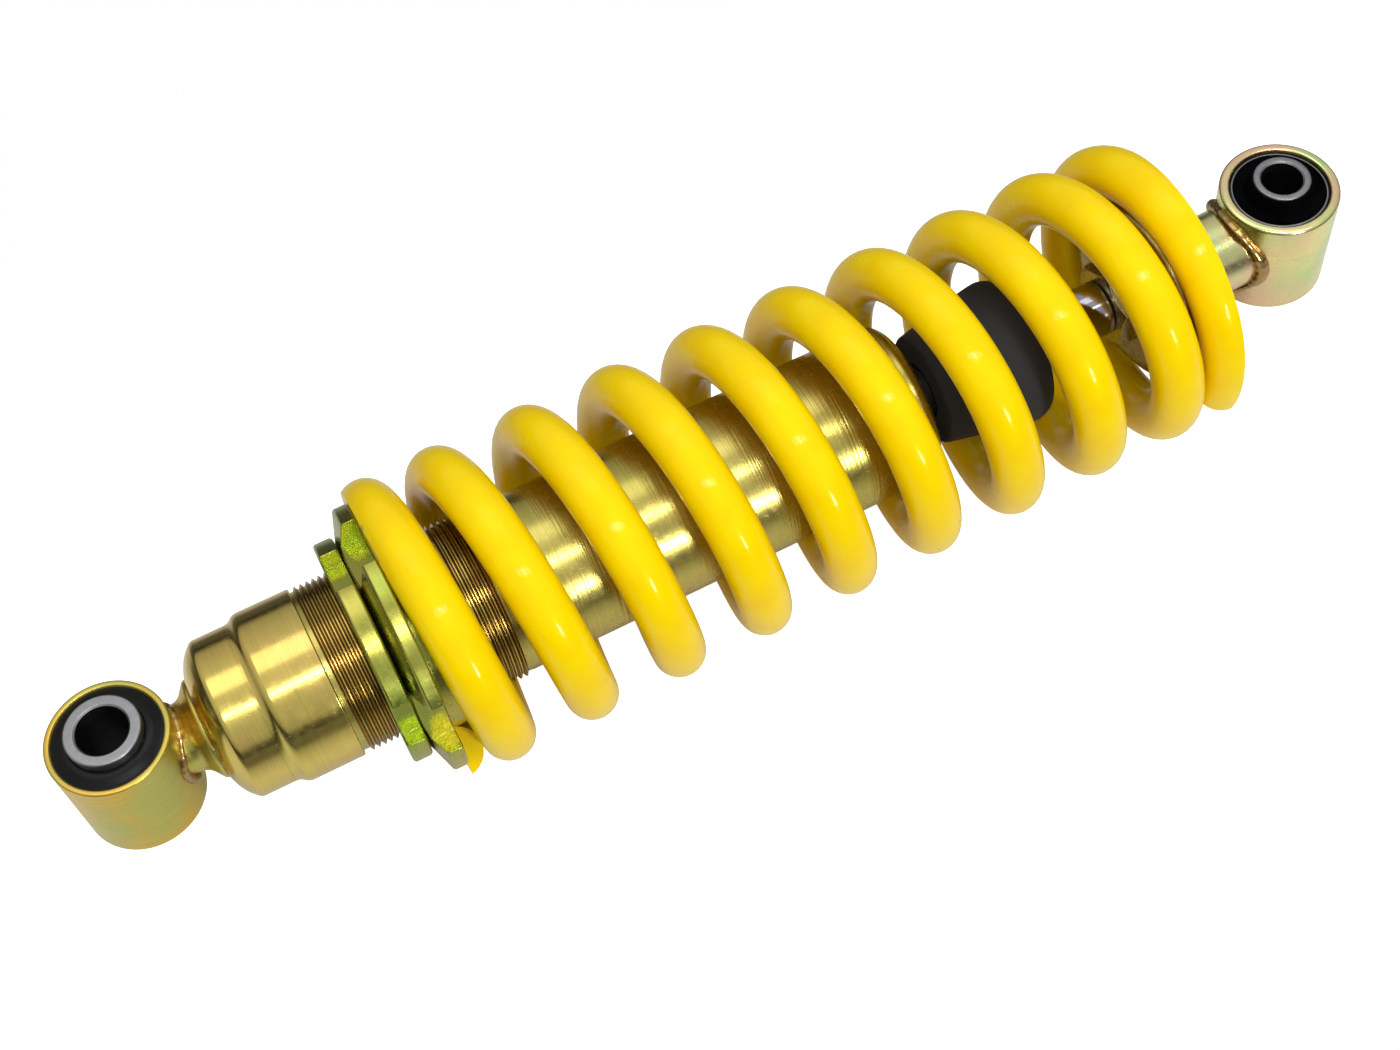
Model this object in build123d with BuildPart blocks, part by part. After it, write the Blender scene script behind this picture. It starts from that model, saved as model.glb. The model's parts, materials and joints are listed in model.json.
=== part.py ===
"""A coilover: a twin-tube damper with a screwed spring seat, its coil spring and a rubber-bushed eye at each end.

Millimetres. X runs along the shock from the body eye to the rod eye, Z along both eye bores.
The origin is the centre of the body eye. The damper is fully extended, as it stands off the car.
Each piece is one node. Turned pieces are drawn as (x, radius) outlines and revolved about the shock's axis.
"""

import os
from math import cos, radians, sin

from build123d import *

# Driving dimensions
eye_to_eye = 308.0
eye_length = 29.5  # along the bolt
sleeve_length = 36.5
body_eye_r = 14.25
body_eye_bore_r = 12.2
countersink = 0.9
body_sleeve_r = 8.75
body_bolt_r = 6.05  # for an M12 bolt
rod_eye_r = 14.75
rod_eye_bore_r = 12.3
rod_sleeve_r = 7.0
rod_bolt_r = 5.1  # for an M10 bolt

tube_r = 20.15  # the rings pass over it
tube_bore_r = 18.0
tube_start = 32.5
tube_end = 201.5
base_r = 19.6
collar_r = 21.1
thread_pitch = 1.5  # M42 x 1.5
thread_r = 20.9
thread_root_r = 20.0
thread_start = 49.0
thread_turns = 28

ring_bore_r = thread_r + 0.06
lock_ring_x = 58.1
lock_ring_width = 4.8
lock_ring_r = 27.7
adjuster_r = 33.3
adjuster_width = 6.1
ring_gap = 0.2

wire_r = 6.4
coil_r = 31.0  # mean radius
coil_turns = 9.95
closing_turns = 1.5  # over which each end closes up
tip_pitch = 8.5
tip_angle = 223.0  # of the first tip, from +Y towards +Z
first_overrun = 1.3  # how far the wire's centre starts outside its ground face
last_overrun = 0.0
spring_length = 204.4
seat_spigot_r = coil_r - wire_r - 0.3

rod_r = 7.0
rod_thread_r = 5.95  # M12
stem_r = 10.5
bush_gap = 0.05  # between a rubber bush and the sleeve that twists in it
fit = 0.05  # radial gap of a piece seated in another

# Places along the axis
adjuster_x = lock_ring_x + lock_ring_width + ring_gap
spring_x = adjuster_x + adjuster_width
retainer_x = spring_x + spring_length
crown_x = retainer_x - 10.0
stem_shoulder_x = crown_x + 3.6
lock_nut_width = 6.0
lock_nut_x = crown_x - 0.1 - lock_nut_width
bump_x = tube_end + 5.0
bump_length = 27.5
guide_x = 182.0
piston_x = 150.0
piston_width = 12.0
rod_shoulder_x = 165.0
foot_x = 34.0
cylinder_x = foot_x + 6.0
cylinder_bore_r = 13.0
cylinder_r = 14.5

os.makedirs("parts", exist_ok=True)


def outline(*points):
    """A closed face through (x, radius) points, to be revolved about the shock's axis."""
    with BuildSketch(Plane.XY) as section:
        with BuildLine():
            Polyline(*points, close=True)
        make_face()
    return section.sketch


def ring(x, width, inner, outer, edge=0.0):
    """The outline of a ring from x to x + width, with its outer corners cut back by edge."""
    if edge == 0.0:
        return outline((x, inner), (x, outer), (x + width, outer), (x + width, inner))
    return outline(
        (x, inner),
        (x, outer - edge),
        (x + edge, outer),
        (x + width - edge, outer),
        (x + width, outer - edge),
        (x + width, inner),
    )


def save(piece, name):
    """Labels a finished piece and writes its STEP file."""
    piece.part.label = name
    export_step(piece.part, f"parts/{name}.step")


# ---- Body eye -------------------------------------------------------------------------------------------------

with BuildPart() as body_eye:
    Cylinder(body_eye_r, eye_length)
    Cylinder(body_eye_bore_r, eye_length, mode=Mode.SUBTRACT)
    bore_edges = body_eye.edges().filter_by(GeomType.CIRCLE).filter_by(lambda e: e.radius < body_eye_r - 1)
    chamfer(bore_edges, countersink)
    chamfer(body_eye.edges().filter_by(GeomType.CIRCLE).filter_by(lambda e: e.radius > body_eye_r - 0.1), 0.3)
save(body_eye, "body_eye")

# The rubber fills the bore and its countersinks, and crowns towards the sleeve.
rubber_edge_z = eye_length / 2 - 0.1
countersink_z = eye_length / 2 - countersink
with BuildPart() as body_eye_bush:
    with BuildSketch(Plane.XZ):
        with BuildLine():
            Polyline(
                (body_sleeve_r + bush_gap, -rubber_edge_z - 0.9),
                (body_eye_bore_r + countersink - 0.15, -rubber_edge_z),
                (body_eye_bore_r, -countersink_z),
                (body_eye_bore_r, countersink_z),
                (body_eye_bore_r + countersink - 0.15, rubber_edge_z),
                (body_sleeve_r + bush_gap, rubber_edge_z + 0.9),
                close=True,
            )
        make_face()
    revolve(axis=Axis.Z)
save(body_eye_bush, "body_eye_bush")

with BuildPart() as body_eye_sleeve:
    Cylinder(body_sleeve_r, sleeve_length)
    Cylinder(body_bolt_r, sleeve_length, mode=Mode.SUBTRACT)
    chamfer(body_eye_sleeve.edges().filter_by(GeomType.CIRCLE), 0.4)
save(body_eye_sleeve, "body_eye_sleeve")

# The stem is coped to the eye and flares to the disc that is welded on the base cap.
neck_r = 8.4
flare_r = 12.3
flare_x = 19.5
stem_spigot_r = 7.05
with BuildPart() as body_eye_stem:
    revolve(
        outline(
            (9.0, 0),
            (9.0, neck_r),
            (14.8, neck_r),
            (16.2, neck_r + 0.7),
            (flare_x - 0.5, flare_r),
            (flare_x, flare_r),
            (flare_x, stem_spigot_r),
            (23.4, stem_spigot_r),
            (23.4, 0),
        ),
        axis=Axis.X,
    )
    Cylinder(body_eye_r, 2 * eye_length, mode=Mode.SUBTRACT)
save(body_eye_stem, "body_eye_stem")

with BuildPart() as body_eye_weld:
    revolve(
        outline((9.0, neck_r), (9.0, 9.9), (13.0, 9.6), (14.2, 9.2), (14.8, neck_r)),
        axis=Axis.X,
    )
    Cylinder(body_eye_r, 2 * eye_length, mode=Mode.SUBTRACT)
save(body_eye_weld, "body_eye_weld")

# ---- Damper body ----------------------------------------------------------------------------------------------

cap_spigot_end = foot_x + 4.0
with BuildPart() as base_cap:
    with BuildSketch(Plane.XY):
        with BuildLine():
            face_edge = (flare_x + 0.1, flare_r + 0.5)
            shoulder = (24.3, base_r)
            Line((flare_x + 0.1, stem_spigot_r + fit), face_edge)
            ThreePointArc(face_edge, (21.3, 16.6), shoulder)
            Polyline(
                shoulder,
                (tube_start, base_r),
                (tube_start, tube_bore_r - fit),
                (cap_spigot_end, tube_bore_r - fit),
                (cap_spigot_end, 16.4),
                (foot_x, 16.4),
                (foot_x, 15.0),
                (26.5, 15.0),
                (23.5, 11.0),
                (23.5, stem_spigot_r + fit),
                (flare_x + 0.1, stem_spigot_r + fit),
            )
        make_face()
    revolve(axis=Axis.X)
save(base_cap, "base_cap")

thread_crests = []
for turn in range(thread_turns):
    crest_x = thread_start + 0.5 + (turn + 0.5) * thread_pitch
    thread_crests += [
        (crest_x - 0.45 * thread_pitch, thread_root_r),
        (crest_x - 0.08 * thread_pitch, thread_r),
        (crest_x + 0.08 * thread_pitch, thread_r),
        (crest_x + 0.45 * thread_pitch, thread_root_r),
    ]
thread_end = thread_start + 0.5 + thread_turns * thread_pitch
lip_r = 15.5  # the tube's rolled-in end
lip_x = tube_end - 1.9
with BuildPart() as damper_tube:
    revolve(
        outline(
            (tube_start, tube_bore_r),
            (tube_start, base_r),
            (tube_start + 0.8, base_r + 0.15),
            (tube_start + 2.3, collar_r - 0.15),
            (tube_start + 3.1, collar_r),
            (thread_start - 0.4, collar_r),
            (thread_start, collar_r - 0.4),
            (thread_start, thread_root_r),
            *thread_crests,
            (thread_end + 0.6, tube_r),
            (tube_end - 2.2, tube_r),
            (tube_end - 0.7, tube_r - 0.6),
            (tube_end, tube_r - 1.8),
            (tube_end, lip_r),
            (lip_x, lip_r),
            (lip_x, tube_bore_r),
        ),
        axis=Axis.X,
    )
save(damper_tube, "damper_tube")

with BuildPart() as inner_cylinder:
    revolve(ring(cylinder_x, guide_x - cylinder_x, cylinder_bore_r, cylinder_r), axis=Axis.X)
save(inner_cylinder, "inner_cylinder")

# ---- Foot valve -----------------------------------------------------------------------------------------------

foot_top_x = cylinder_x + 5.0
rivet_r = 2.0
with BuildPart() as foot_valve_body:
    revolve(
        outline(
            (foot_x, rivet_r + fit),
            (foot_x, 16.3),
            (foot_x + 3, 16.3),
            (foot_x + 3, cylinder_r),
            (cylinder_x, cylinder_r),
            (cylinder_x, cylinder_bore_r - fit),
            (foot_top_x, cylinder_bore_r - fit),
            (foot_top_x, rivet_r + fit),
        ),
        axis=Axis.X,
    )
    with BuildSketch(Plane.YZ.offset(foot_x)):
        with PolarLocations(8.0, 6):
            Circle(1.6)
    extrude(amount=foot_top_x - foot_x, mode=Mode.SUBTRACT)
    with BuildSketch(Plane.YZ.offset(foot_x)):
        with PolarLocations(16.3, 6, 30):
            Rectangle(4.0, 4.0)
    extrude(amount=3.0, mode=Mode.SUBTRACT)
save(foot_valve_body, "foot_valve_body")

plate_travel = 1.0
with BuildPart() as foot_valve_plate:
    revolve(ring(foot_top_x + 0.1, 0.6, 4.1, 10.5), axis=Axis.X)
save(foot_valve_plate, "foot_valve_plate")

rivet_head_x = foot_top_x + 0.1 + 0.6 + plate_travel + 0.2
with BuildPart() as foot_valve_rivet:
    revolve(
        outline(
            (foot_x - 2.0, 0),
            (foot_x - 2.0, 3.5),
            (foot_x - 0.2, 3.5),
            (foot_x - 0.2, rivet_r),
            (foot_top_x, rivet_r),
            (foot_top_x, 4.0),
            (rivet_head_x, 4.0),
            (rivet_head_x, 6.0),
            (rivet_head_x + 1.0, 5.6),
            (rivet_head_x + 1.0, 0),
        ),
        axis=Axis.X,
    )
save(foot_valve_rivet, "foot_valve_rivet")

# ---- Rod guide and seal ---------------------------------------------------------------------------------------

guide_bore_r = 8.0
guide_end_x = guide_x + 10.0
seal_end_x = lip_x - 1.1
groove_x = guide_x + 4.0
groove_width = 3.0
groove_r = 15.9
with BuildPart() as rod_guide:
    revolve(
        outline(
            (guide_x - 3.5, guide_bore_r),
            (guide_x - 3.5, cylinder_bore_r - 0.4),
            (guide_x - 3.1, cylinder_bore_r - fit),
            (guide_x, cylinder_bore_r - fit),
            (guide_x, tube_bore_r - fit),
            (groove_x, tube_bore_r - fit),
            (groove_x, groove_r),
            (groove_x + groove_width, groove_r),
            (groove_x + groove_width, tube_bore_r - fit),
            (guide_end_x, tube_bore_r - fit),
            (guide_end_x, guide_bore_r),
        ),
        axis=Axis.X,
    )
save(rod_guide, "rod_guide")

with BuildPart() as guide_bush:
    revolve(ring(guide_x - 2.0, 11.0, rod_r + 0.04, guide_bore_r - 0.02), axis=Axis.X)
save(guide_bush, "guide_bush")

ring_section_r = (tube_bore_r - groove_r) / 2
with BuildPart() as guide_o_ring:
    with BuildSketch(Plane.XY):
        with Locations((groove_x + groove_width / 2, groove_r + ring_section_r)):
            Circle(ring_section_r - 0.02)
    revolve(axis=Axis.X)
save(guide_o_ring, "guide_o_ring")

with BuildPart() as oil_seal:
    revolve(
        outline(
            (guide_end_x, tube_bore_r - fit),
            (seal_end_x, tube_bore_r - fit),
            (seal_end_x, 11.5),
            (seal_end_x - 1.6, 9.0),
            (seal_end_x - 0.4, rod_r + 0.04),
            (seal_end_x - 1.4, rod_r + 0.04),
            (guide_end_x + 2.4, 9.0),
            (guide_end_x + 1.6, rod_r + 0.04),
            (guide_end_x + 0.6, rod_r + 0.04),
            (guide_end_x, 9.5),
        ),
        axis=Axis.X,
    )
save(oil_seal, "oil_seal")

with BuildPart() as seal_cover:
    revolve(ring(seal_end_x, 1.1, rod_r + 1.0, tube_bore_r - fit), axis=Axis.X)
save(seal_cover, "seal_cover")

# ---- Spring seat ----------------------------------------------------------------------------------------------


def notch_blocks(piece_x, width, floor_r, outer_r, notch_width, notch_angle):
    """Four blocks that cut a ring's spanner notches, the first at notch_angle from +Y towards +Z."""
    depth = outer_r - floor_r + 1.0
    with BuildPart() as notches:
        with BuildSketch(Plane.YZ.offset(piece_x - 1.0)):
            with PolarLocations(floor_r + depth / 2, 4, notch_angle):
                Rectangle(depth, notch_width)
        extrude(amount=width + 2.0)
    return notches.part


with BuildPart() as lock_ring:
    revolve(ring(lock_ring_x, lock_ring_width, ring_bore_r, lock_ring_r, 0.5), axis=Axis.X)
    add(notch_blocks(lock_ring_x, lock_ring_width, 22.7, lock_ring_r, 12.6, 75.0), mode=Mode.SUBTRACT)
save(lock_ring, "lock_ring")

with BuildPart() as adjuster_ring:
    revolve(
        outline(
            (adjuster_x, ring_bore_r),
            (adjuster_x, 26.0),
            (adjuster_x + 2.4, adjuster_r - 0.4),
            (adjuster_x + 2.9, adjuster_r),
            (spring_x - 0.4, adjuster_r),
            (spring_x, adjuster_r - 0.4),
            (spring_x, seat_spigot_r),
            (spring_x + 5.6, seat_spigot_r),
            (spring_x + 6.6, seat_spigot_r - 1.0),
            (spring_x + 6.6, ring_bore_r),
        ),
        axis=Axis.X,
    )
    add(notch_blocks(adjuster_x, adjuster_width, 26.4, adjuster_r, 15.0, 76.5), mode=Mode.SUBTRACT)
save(adjuster_ring, "adjuster_ring")

# ---- Spring ---------------------------------------------------------------------------------------------------

# The pitch opens evenly from each closed tip over the closing turns, and is even between them.
full_rise = spring_length + first_overrun + last_overrun
coil_pitch = (full_rise - closing_turns * tip_pitch) / (coil_turns - closing_turns)


def rise(turn):
    """How far the wire's centre has climbed along X, so many turns from its first tip."""
    if turn > coil_turns / 2:
        return full_rise - rise(coil_turns - turn)
    closing = min(turn, closing_turns)
    opened = (coil_pitch - tip_pitch) * closing**2 / (2 * closing_turns)
    return tip_pitch * closing + opened + coil_pitch * (turn - closing)


steps = 120
centre_points = []
for step in range(steps + 1):
    turn = coil_turns * step / steps
    angle = radians(tip_angle + 360 * turn)
    centre_points.append((spring_x - first_overrun + rise(turn), coil_r * cos(angle), coil_r * sin(angle)))

# The tips run past the seats' planes and are ground flat on them.
with BuildPart() as spring:
    with BuildLine() as centre:
        Spline(*centre_points)
    with BuildSketch(Plane(origin=centre.line @ 0, z_dir=centre.line % 0)):
        Circle(wire_r)
    sweep(is_frenet=True)
    split(bisect_by=Plane.YZ.offset(spring_x), keep=Keep.TOP)
    split(bisect_by=Plane.YZ.offset(retainer_x), keep=Keep.BOTTOM)
save(spring, "spring")

# ---- Retainer and bump stop -----------------------------------------------------------------------------------

crown_bore_r = 8.6
with BuildPart() as spring_retainer:
    revolve(
        outline(
            (crown_x, crown_bore_r),
            (crown_x, 19.2),
            (crown_x + 3.0, seat_spigot_r - 0.6),
            (crown_x + 5.0, seat_spigot_r),
            (retainer_x, seat_spigot_r),
            (retainer_x, 29.0),
            (retainer_x + 0.5, 29.5),
            (retainer_x + 3.0, 29.5),
            (retainer_x + 3.5, 29.0),
            (retainer_x + 3.5, 21.0),
            (retainer_x - 3.5, 20.4),
            (stem_shoulder_x - 0.1, 17.0),
            (stem_shoulder_x - 0.1, crown_bore_r),
        ),
        axis=Axis.X,
    )
save(spring_retainer, "spring_retainer")

bump_end = bump_x + bump_length
nut_pocket_r = 12.6
nut_pocket_depth = 9.2
with BuildPart() as bump_stop:
    revolve(
        outline(
            (bump_x, rod_r + 0.1),
            (bump_x, 13.0),
            (bump_x + 0.4, 13.9),
            (bump_x + 1.2, 14.5),
            (bump_end - 6.5, 18.5),
            (bump_end - 3.6, 18.7),
            (bump_end - 1.6, 18.1),
            (bump_end - 0.4, 17.0),
            (bump_end, 15.8),
            (bump_end, nut_pocket_r),
            (bump_end - nut_pocket_depth, nut_pocket_r),
            (bump_end - nut_pocket_depth - 1.0, rod_r + 0.1),
        ),
        axis=Axis.X,
    )
save(bump_stop, "bump_stop")

# ---- Rod and piston -------------------------------------------------------------------------------------------

piston_thread_r = 5.0
rod_tip_x = 142.0
rod_thread_end = stem_shoulder_x + 16.0
with BuildPart() as piston_rod:
    revolve(
        outline(
            (rod_tip_x, 0),
            (rod_tip_x, piston_thread_r - 0.5),
            (rod_tip_x + 0.5, piston_thread_r),
            (rod_shoulder_x, piston_thread_r),
            (rod_shoulder_x, rod_r),
            (lock_nut_x - 0.6, rod_r),
            (lock_nut_x, rod_r - 0.6),
            (lock_nut_x, rod_thread_r),
            (rod_thread_end - 0.8, rod_thread_r),
            (rod_thread_end, rod_thread_r - 0.8),
            (rod_thread_end, 0),
        ),
        axis=Axis.X,
    )
save(piston_rod, "piston_rod")

bore = piston_thread_r + fit
band_r = cylinder_bore_r - 0.05
with BuildPart() as piston:
    revolve(
        outline(
            (piston_x, bore),
            (piston_x, band_r - 0.2),
            (piston_x + 2.0, band_r - 0.2),
            (piston_x + 2.0, band_r - 1.2),
            (piston_x + 10.0, band_r - 1.2),
            (piston_x + 10.0, band_r - 0.2),
            (piston_x + piston_width, band_r - 0.2),
            (piston_x + piston_width, bore),
        ),
        axis=Axis.X,
    )
    with BuildSketch(Plane.YZ.offset(piston_x)):
        with PolarLocations(8.6, 8):
            Circle(1.3)
    extrude(amount=piston_width, mode=Mode.SUBTRACT)
save(piston, "piston")

with BuildPart() as piston_band:
    revolve(ring(piston_x + 2.05, 7.9, band_r - 1.15, band_r), axis=Axis.X)
save(piston_band, "piston_band")

with BuildPart() as piston_check_plate:
    revolve(ring(piston_x + piston_width + 0.05, 0.5, bore, 10.8), axis=Axis.X)
save(piston_check_plate, "piston_check_plate")

with BuildPart() as check_stop_washer:
    revolve(ring(rod_shoulder_x - 1.6, 1.6, bore, 11.0, 0.3), axis=Axis.X)
save(check_stop_washer, "check_stop_washer")

# A stack of shims, the largest against the piston.
with BuildPart() as compression_shims:
    for number, shim_r in enumerate((10.8, 9.8, 8.8, 7.8)):
        revolve(ring(piston_x - 0.3 * (number + 1), 0.3, bore, shim_r), axis=Axis.X)
save(compression_shims, "compression_shims")

with BuildPart() as piston_nut:
    with BuildSketch(Plane.YZ.offset(piston_x - 7.2)):
        RegularPolygon(8.0, 6, major_radius=False)
        Circle(bore, mode=Mode.SUBTRACT)
    extrude(amount=6.0)
save(piston_nut, "piston_nut")

with BuildPart() as rebound_stop:
    revolve(ring(rod_shoulder_x + 0.1, guide_x - 3.7 - rod_shoulder_x - 0.1, rod_r + 0.05, 11.2, 0.8), axis=Axis.X)
save(rebound_stop, "rebound_stop")

# ---- Rod eye --------------------------------------------------------------------------------------------------

with BuildPart() as lock_nut:
    with BuildSketch(Plane.YZ.offset(lock_nut_x)):
        RegularPolygon(9.5, 6, major_radius=False)
        Circle(rod_thread_r + fit, mode=Mode.SUBTRACT)
    extrude(amount=lock_nut_width)
    chamfer(lock_nut.edges().filter_by(GeomType.CIRCLE), 0.4)
save(lock_nut, "lock_nut")

with BuildPart() as rod_eye_stem:
    revolve(
        outline(
            (crown_x - 0.1, rod_thread_r + fit),
            (crown_x - 0.1, crown_bore_r - 0.1),
            (stem_shoulder_x, crown_bore_r - 0.1),
            (stem_shoulder_x, stem_r - 0.5),
            (stem_shoulder_x + 0.5, stem_r),
            (eye_to_eye - 8.0, stem_r),
            (eye_to_eye - 8.0, 0),
            (rod_thread_end + 3.0, 0),
            (rod_thread_end + 1.0, rod_thread_r + fit),
        ),
        axis=Axis.X,
    )
    with Locations((eye_to_eye, 0, 0)):
        Cylinder(rod_eye_r, 2 * eye_length, mode=Mode.SUBTRACT)
save(rod_eye_stem, "rod_eye_stem")

with BuildPart() as rod_eye_weld:
    revolve(
        outline(
            (eye_to_eye - 16.2, stem_r),
            (eye_to_eye - 15.4, stem_r + 1.0),
            (eye_to_eye - 13.6, stem_r + 1.7),
            (eye_to_eye - 8.0, stem_r + 2.0),
            (eye_to_eye - 8.0, stem_r),
        ),
        axis=Axis.X,
    )
    with Locations((eye_to_eye, 0, 0)):
        Cylinder(rod_eye_r, 2 * eye_length, mode=Mode.SUBTRACT)
save(rod_eye_weld, "rod_eye_weld")

with BuildPart() as rod_eye:
    with Locations((eye_to_eye, 0, 0)):
        Cylinder(rod_eye_r, eye_length)
        Cylinder(rod_eye_bore_r, eye_length, mode=Mode.SUBTRACT)
    fillet(rod_eye.edges().filter_by(GeomType.CIRCLE).filter_by(lambda e: e.radius > rod_eye_r - 0.1), 0.7)
    chamfer(rod_eye.edges().filter_by(GeomType.CIRCLE).filter_by(lambda e: e.radius < rod_eye_bore_r + 0.1), 0.4)
save(rod_eye, "rod_eye")

shell_length = eye_length - 1.6
shell_r = rod_eye_bore_r - 0.9
with BuildPart() as rod_eye_bush_shell:
    with Locations((eye_to_eye, 0, 0)):
        Cylinder(rod_eye_bore_r, shell_length)
        Cylinder(shell_r, shell_length, mode=Mode.SUBTRACT)
save(rod_eye_bush_shell, "rod_eye_bush_shell")

# The rubber is dished between its shell and the sleeve.
with BuildPart() as rod_eye_bush:
    with BuildSketch(Plane.XZ):
        with BuildLine():
            Polyline(
                (eye_to_eye + rod_sleeve_r + bush_gap, -shell_length / 2 - 0.6),
                (eye_to_eye + rod_sleeve_r + 1.6, -shell_length / 2 + 1.0),
                (eye_to_eye + shell_r - 1.4, -shell_length / 2 + 1.0),
                (eye_to_eye + shell_r, -shell_length / 2 + 0.2),
                (eye_to_eye + shell_r, shell_length / 2 - 0.2),
                (eye_to_eye + shell_r - 1.4, shell_length / 2 - 1.0),
                (eye_to_eye + rod_sleeve_r + 1.6, shell_length / 2 - 1.0),
                (eye_to_eye + rod_sleeve_r + bush_gap, shell_length / 2 + 0.6),
                close=True,
            )
        make_face()
    revolve(axis=Axis((eye_to_eye, 0, 0), (0, 0, 1)))
save(rod_eye_bush, "rod_eye_bush")

with BuildPart() as rod_eye_sleeve:
    with Locations((eye_to_eye, 0, 0)):
        Cylinder(rod_sleeve_r, sleeve_length)
        Cylinder(rod_bolt_r, sleeve_length, mode=Mode.SUBTRACT)
    chamfer(rod_eye_sleeve.edges().filter_by(GeomType.CIRCLE), 0.4)
save(rod_eye_sleeve, "rod_eye_sleeve")
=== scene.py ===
"""A coilover: a damper with a coil spring on a screwed seat, and a rubber-bushed eye at each end.

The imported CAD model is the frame. X runs along the shock from the body eye to the rod eye, and Z
along both eye bores. Outlines are in millimetres, and everything that reaches Blender is in metres.
"""

import json
from math import cos, hypot, pi, radians, sin, sqrt

import bmesh
import bpy
from bpy.props import FloatProperty, FloatVectorProperty, IntProperty, PointerProperty
from mathutils import Euler, Matrix, Vector

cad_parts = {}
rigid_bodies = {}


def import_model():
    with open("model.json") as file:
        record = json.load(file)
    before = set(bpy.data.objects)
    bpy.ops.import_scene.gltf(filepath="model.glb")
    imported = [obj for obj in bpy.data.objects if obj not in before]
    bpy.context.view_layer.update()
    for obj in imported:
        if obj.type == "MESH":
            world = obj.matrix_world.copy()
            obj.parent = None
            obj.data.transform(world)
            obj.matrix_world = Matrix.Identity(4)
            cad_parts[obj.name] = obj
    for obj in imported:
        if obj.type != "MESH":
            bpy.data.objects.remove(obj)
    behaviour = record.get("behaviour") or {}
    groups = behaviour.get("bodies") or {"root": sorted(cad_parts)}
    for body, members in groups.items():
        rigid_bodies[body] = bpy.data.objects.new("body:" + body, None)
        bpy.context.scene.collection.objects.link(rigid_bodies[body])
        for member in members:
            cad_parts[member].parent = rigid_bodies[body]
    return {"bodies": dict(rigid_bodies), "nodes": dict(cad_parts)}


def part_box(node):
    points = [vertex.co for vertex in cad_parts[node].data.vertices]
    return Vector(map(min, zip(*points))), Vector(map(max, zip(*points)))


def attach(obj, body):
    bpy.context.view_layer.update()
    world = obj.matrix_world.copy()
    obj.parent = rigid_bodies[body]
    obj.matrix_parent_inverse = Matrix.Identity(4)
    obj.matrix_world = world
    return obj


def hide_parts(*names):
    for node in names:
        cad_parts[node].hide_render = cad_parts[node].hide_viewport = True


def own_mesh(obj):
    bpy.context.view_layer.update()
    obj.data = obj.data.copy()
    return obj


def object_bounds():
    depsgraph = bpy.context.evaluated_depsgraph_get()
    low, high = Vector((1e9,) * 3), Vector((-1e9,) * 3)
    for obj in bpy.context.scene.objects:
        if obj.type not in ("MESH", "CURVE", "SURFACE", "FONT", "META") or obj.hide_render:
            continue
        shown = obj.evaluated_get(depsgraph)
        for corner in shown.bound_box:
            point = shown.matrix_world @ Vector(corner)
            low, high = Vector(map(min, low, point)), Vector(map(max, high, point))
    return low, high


bl_info = {
    "name": "Coilover",
    "version": (1, 0, 0),
    "blender": (4, 5, 0),
    "location": "3D View > Sidebar > Coilover",
    "description": "Models a coilover with its spring, screwed seat, damper and eyes around its CAD frame",
    "category": "Object",
}

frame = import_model()
cad_low, cad_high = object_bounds()

MM = 0.001
TURN_STEPS = 128  # facets round a turned piece
STEM_SUNK = 0.9  # how deep a stem's end lies in its eye's wall
SPIGOT_R = 24.3  # of the seat and the retainer, inside the spring's ends


def reach(node, axis=0):
    """Where a CAD node starts and ends along an axis, in millimetres."""
    low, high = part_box(node)
    return low[axis] / MM, high[axis] / MM


# ---- Shapes --------------------------------------------------------------------------------------


def turned(outline):
    """A closed solid of revolution about X, from (x, radius, corner rounding) points."""
    mesh = bmesh.new()
    corners = [mesh.verts.new((x * MM, radius * MM, 0.0)) for x, radius, _ in outline]
    mesh.faces.new(corners)
    for corner, (_, _, rounding) in zip(corners, outline):
        if rounding:
            bmesh.ops.bevel(
                mesh,
                geom=[corner],
                offset=rounding * MM,
                offset_type="OFFSET",
                segments=4,
                profile=0.5,
                affect="VERTICES",
                material=-1,
            )
    bmesh.ops.delete(mesh, geom=mesh.faces[:], context="FACES_ONLY")
    on_axis = [edge for edge in mesh.edges if all(abs(vertex.co.y) < 1e-9 for vertex in edge.verts)]
    bmesh.ops.delete(mesh, geom=on_axis, context="EDGES")
    bmesh.ops.spin(
        mesh,
        geom=mesh.verts[:] + mesh.edges[:],
        cent=(0.0, 0.0, 0.0),
        axis=(1.0, 0.0, 0.0),
        angle=2 * pi,
        steps=TURN_STEPS,
        use_merge=True,
    )
    bmesh.ops.remove_doubles(mesh, verts=mesh.verts[:], dist=1e-7)
    return mesh


def crosswise(lower_half, x=0.0):
    """A piece that stands across the shock at x millimetres, turned from the outline of its lower half."""
    upper_half = [(-along, radius, rounding) for along, radius, rounding in reversed(lower_half)]
    mesh = turned(lower_half + upper_half)
    stand = Matrix.Translation((x * MM, 0.0, 0.0)) @ Matrix.Rotation(-pi / 2, 4, "Y")
    bmesh.ops.transform(mesh, matrix=stand, verts=mesh.verts[:])
    return mesh


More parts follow.
